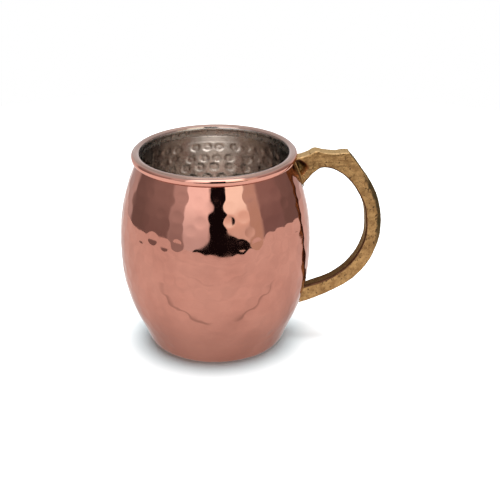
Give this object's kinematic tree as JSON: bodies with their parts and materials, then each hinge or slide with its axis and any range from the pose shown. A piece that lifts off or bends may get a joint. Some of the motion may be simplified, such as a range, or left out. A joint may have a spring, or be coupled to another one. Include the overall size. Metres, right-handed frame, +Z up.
{
  "type": "copper mug",
  "caption": "Barrel-shaped hammered copper mug with a rolled rim, tin-lined inside, and a cast brass D handle with two thumb-rest peaks.",
  "frame": {"origin": "centre of the flat base, on the mug's axis", "axes": "+Z up along the mug's axis towards the mouth, +X towards the handle"},
  "size_m": [0.1264, 0.0914, 0.0967],
  "materials": {
    "copper": "mirror-polished copper, hammered",
    "tin": "satin tin lining, hammered",
    "wire": "plain drawn wire",
    "brass": "sand-cast brass, hand-finished",
    "braze": "filed braze metal"
  },
  "bodies": {
    "root": {"copper_body": "copper", "rim_wire": "wire", "lining": "tin", "handle": "brass", "upper_braze": "braze", "lower_braze": "braze"}
  },
  "joints": []
}
